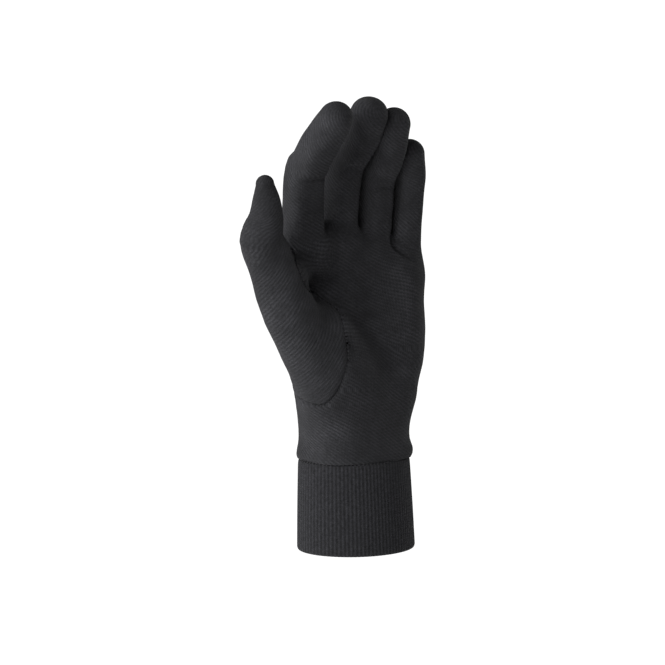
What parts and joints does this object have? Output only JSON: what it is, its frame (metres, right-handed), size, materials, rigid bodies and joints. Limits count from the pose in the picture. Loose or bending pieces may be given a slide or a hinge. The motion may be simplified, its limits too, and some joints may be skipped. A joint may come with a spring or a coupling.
{
  "type": "glove liner",
  "caption": "Fine knit glove liner for a left hand, shown worn with bent fingers, with a set-in thumb and a ribbed wrist cuff.",
  "frame": {"origin": "middle of the wrist opening, in the plane of the cuff hem, where an arm holds the glove", "axes": "+Z from the hem to the fingertips, -Y the palm side, +X the little finger side"},
  "size_m": [0.1241, 0.0671, 0.2369],
  "materials": {
    "rib_knit": "soft ribbed knit, two layers, very dark charcoal",
    "fine_knit": "fine plain knit, matt, very dark charcoal"
  },
  "bodies": {
    "root": {"cuff": "rib_knit", "hand": "fine_knit", "thumb": "fine_knit", "index_finger": "fine_knit", "middle_finger": "fine_knit", "ring_finger": "fine_knit", "little_finger": "fine_knit"}
  },
  "joints": []
}
